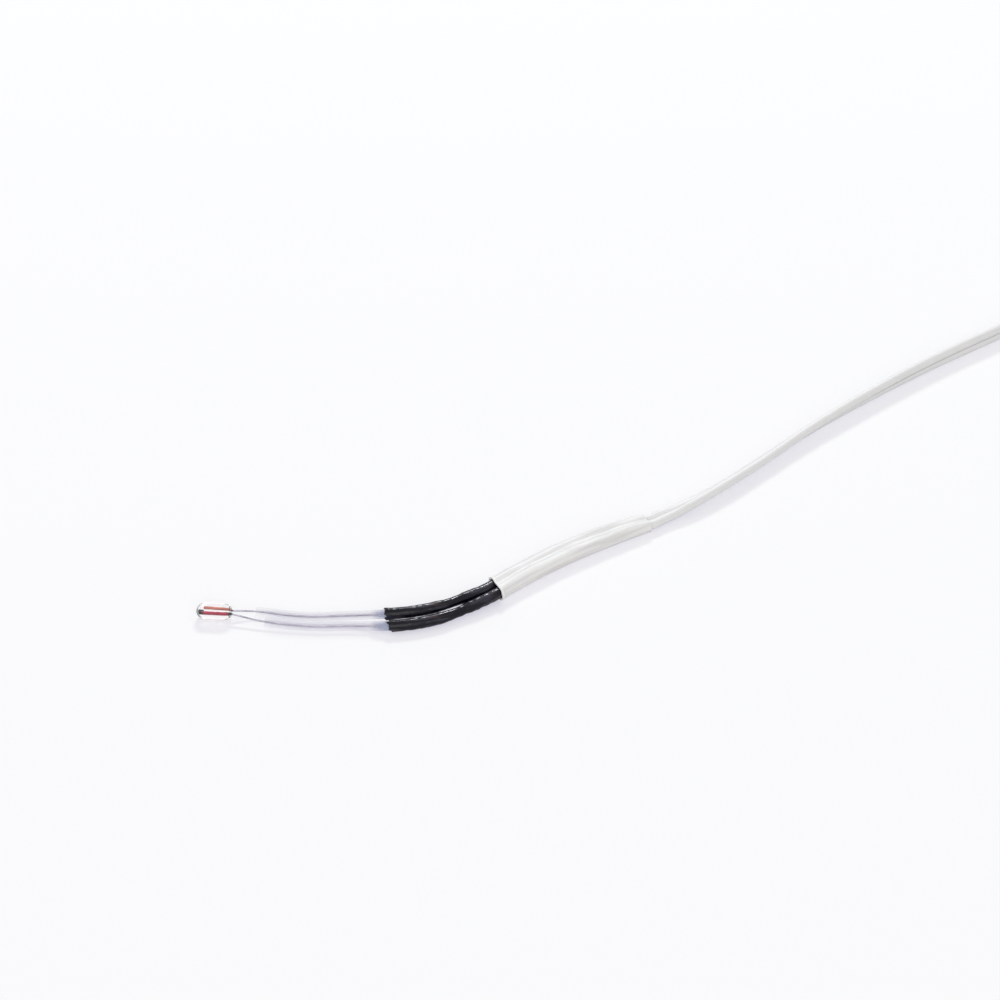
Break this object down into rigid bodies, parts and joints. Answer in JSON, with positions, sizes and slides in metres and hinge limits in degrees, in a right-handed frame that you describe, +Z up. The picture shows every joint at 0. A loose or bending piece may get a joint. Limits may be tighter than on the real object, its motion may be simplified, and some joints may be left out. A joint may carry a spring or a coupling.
{
  "type": "thermistor",
  "caption": "Glass-bead thermistor with two sleeved leads, black and white shrink tubing and a flat twin lead folded in a tied hank.",
  "frame": {"origin": "middle of the white sleeve's flat underside, on the surface it lies on", "axes": "+X along the white sleeve from the bead towards the cable, +Z up"},
  "size_m": [0.1694, 0.0255, 0.0051],
  "materials": {
    "bead_glass": "clear, fire-polished",
    "chip": "dark sintered ceramic with a dull sheen",
    "lead_wire": "copper-clad wire, red inside the glass and dull grey outside",
    "clear_sleeve": "translucent bluish white",
    "solder": "satin",
    "black_shrink": "satin black, finely wrinkled",
    "tinned_strands": "tinned copper strands",
    "white_insulation": "satin off-white",
    "white_shrink": "satin off-white",
    "tie_strip": "satin"
  },
  "bodies": {
    "root": {"glass_body": "bead_glass", "sensor_chip": "chip", "lead_a": "lead_wire", "lead_b": "lead_wire", "ptfe_sleeve_a": "clear_sleeve", "ptfe_sleeve_b": "clear_sleeve", "solder_joint_a": "solder", "solder_joint_b": "solder", "black_shrink_a": "black_shrink", "black_shrink_b": "black_shrink", "conductor_a": "tinned_strands", "conductor_b": "tinned_strands", "cable_core_a": "white_insulation", "cable_core_b": "white_insulation", "white_shrink": "white_shrink", "cable_run": "white_insulation", "cable_hank": "white_insulation", "hank_tie": "tie_strip", "cable_tail": "white_insulation", "tail_core_a": "white_insulation", "tail_core_b": "white_insulation", "stripped_end_a": "tinned_strands", "stripped_end_b": "tinned_strands"}
  },
  "joints": []
}
